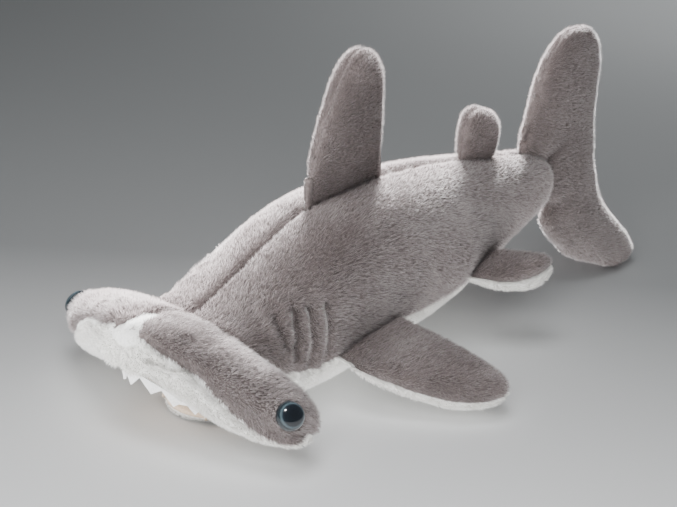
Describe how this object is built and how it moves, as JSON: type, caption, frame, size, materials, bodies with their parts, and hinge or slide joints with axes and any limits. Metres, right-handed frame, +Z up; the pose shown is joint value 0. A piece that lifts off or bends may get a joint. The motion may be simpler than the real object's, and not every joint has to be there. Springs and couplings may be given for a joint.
{
  "type": "plush shark",
  "caption": "Stuffed plush hammerhead shark with bending fins and tail, an open felt-toothed mouth and domed plastic eyes.",
  "frame": {"origin": "on the floor under the middle of the toy's length, on its plane of symmetry", "axes": "+Z up, -Y towards the head, +X to the shark's left side"},
  "size_m": [0.217, 0.422, 0.182],
  "materials": {
    "grey_plush": "short cut pile plush, brown grey",
    "white_plush": "short cut pile plush, white",
    "fibre_stuffing": "loose polyester fibre",
    "beige_cloth": "smooth short napped cloth, beige",
    "white_felt": "felt, white",
    "eye_plastic": "glossy clear dome over a grey blue iris and a dark pupil",
    "lock_plastic": "moulded, natural white"
  },
  "bodies": {
    "root": {"back_panel_left": "grey_plush", "back_panel_right": "grey_plush", "belly_panel": "white_plush", "body_stuffing": "fibre_stuffing", "eye_left": "eye_plastic", "eye_right": "eye_plastic", "eye_washer_left": "lock_plastic", "eye_washer_right": "lock_plastic", "head_stuffing": "fibre_stuffing", "head_top_left": "grey_plush", "head_top_right": "grey_plush", "head_under_left": "white_plush", "head_under_right": "white_plush", "palate_lining": "beige_cloth", "upper_teeth": "white_felt"},
    "dorsal_fin": {"dorsal_fin_left": "grey_plush", "dorsal_fin_right": "grey_plush", "dorsal_fin_stuffing": "fibre_stuffing"},
    "jaw": {"jaw_cover": "white_plush", "jaw_lining": "beige_cloth", "jaw_stuffing": "fibre_stuffing", "lower_teeth": "white_felt"},
    "pectoral_left": {"pectoral_left_stuffing": "fibre_stuffing", "pectoral_left_top": "grey_plush", "pectoral_left_under": "white_plush"},
    "pectoral_right": {"pectoral_right_stuffing": "fibre_stuffing", "pectoral_right_top": "grey_plush", "pectoral_right_under": "white_plush"},
    "pelvic_left": {"pelvic_left_stuffing": "fibre_stuffing", "pelvic_left_top": "grey_plush", "pelvic_left_under": "white_plush"},
    "pelvic_right": {"pelvic_right_stuffing": "fibre_stuffing", "pelvic_right_top": "grey_plush", "pelvic_right_under": "white_plush"},
    "second_fin": {"second_fin_left": "grey_plush", "second_fin_right": "grey_plush", "second_fin_stuffing": "fibre_stuffing"},
    "tail_fin": {"tail_fin_left": "grey_plush", "tail_fin_right": "grey_plush", "tail_fin_stuffing": "fibre_stuffing"}
  },
  "joints": [
    {"name": "jaw_hinge", "type": "hinge", "parent": "root", "child": "jaw", "pos_m": [0, -0.13503, 0.00627], "axis": [1, 0, 0], "range_deg": [-12, 9], "stiffness_Nm_per_rad": 0.02},
    {"name": "dorsal_bend", "type": "hinge", "parent": "root", "child": "dorsal_fin", "pos_m": [0, -0.09146, 0.10311], "axis": [0, 0.9894, 0.1454], "range_deg": [-30, 30], "stiffness_Nm_per_rad": 0.03},
    {"name": "second_bend", "type": "hinge", "parent": "root", "child": "second_fin", "pos_m": [0, 0.03067, 0.10791], "axis": [0, 0.9933, -0.1152], "range_deg": [-30, 30], "stiffness_Nm_per_rad": 0.01},
    {"name": "tail_bend", "type": "hinge", "parent": "root", "child": "tail_fin", "pos_m": [0, 0.11733, 0.07946], "axis": [0, -0.0996, 0.995], "range_deg": [-25, 25], "stiffness_Nm_per_rad": 0.05},
    {"name": "pectoral_lift_left", "type": "hinge", "parent": "root", "child": "pectoral_left", "pos_m": [0.04788, -0.10395, 0.02706], "axis": [0.0206, -0.9726, -0.2318], "range_deg": [-12, 30], "stiffness_Nm_per_rad": 0.02},
    {"name": "pelvic_lift_left", "type": "hinge", "parent": "root", "child": "pelvic_left", "pos_m": [0.03563, 0.01303, 0.04312], "axis": [0.2053, -0.9512, -0.2301], "range_deg": [-15, 30], "stiffness_Nm_per_rad": 0.01},
    {"name": "pectoral_lift_right", "type": "hinge", "parent": "root", "child": "pectoral_right", "pos_m": [-0.04788, -0.10395, 0.02706], "axis": [0.0206, 0.9726, 0.2318], "range_deg": [-12, 30], "stiffness_Nm_per_rad": 0.02},
    {"name": "pelvic_lift_right", "type": "hinge", "parent": "root", "child": "pelvic_right", "pos_m": [-0.03563, 0.01303, 0.04312], "axis": [0.2053, 0.9512, 0.2301], "range_deg": [-15, 30], "stiffness_Nm_per_rad": 0.01}
  ]
}
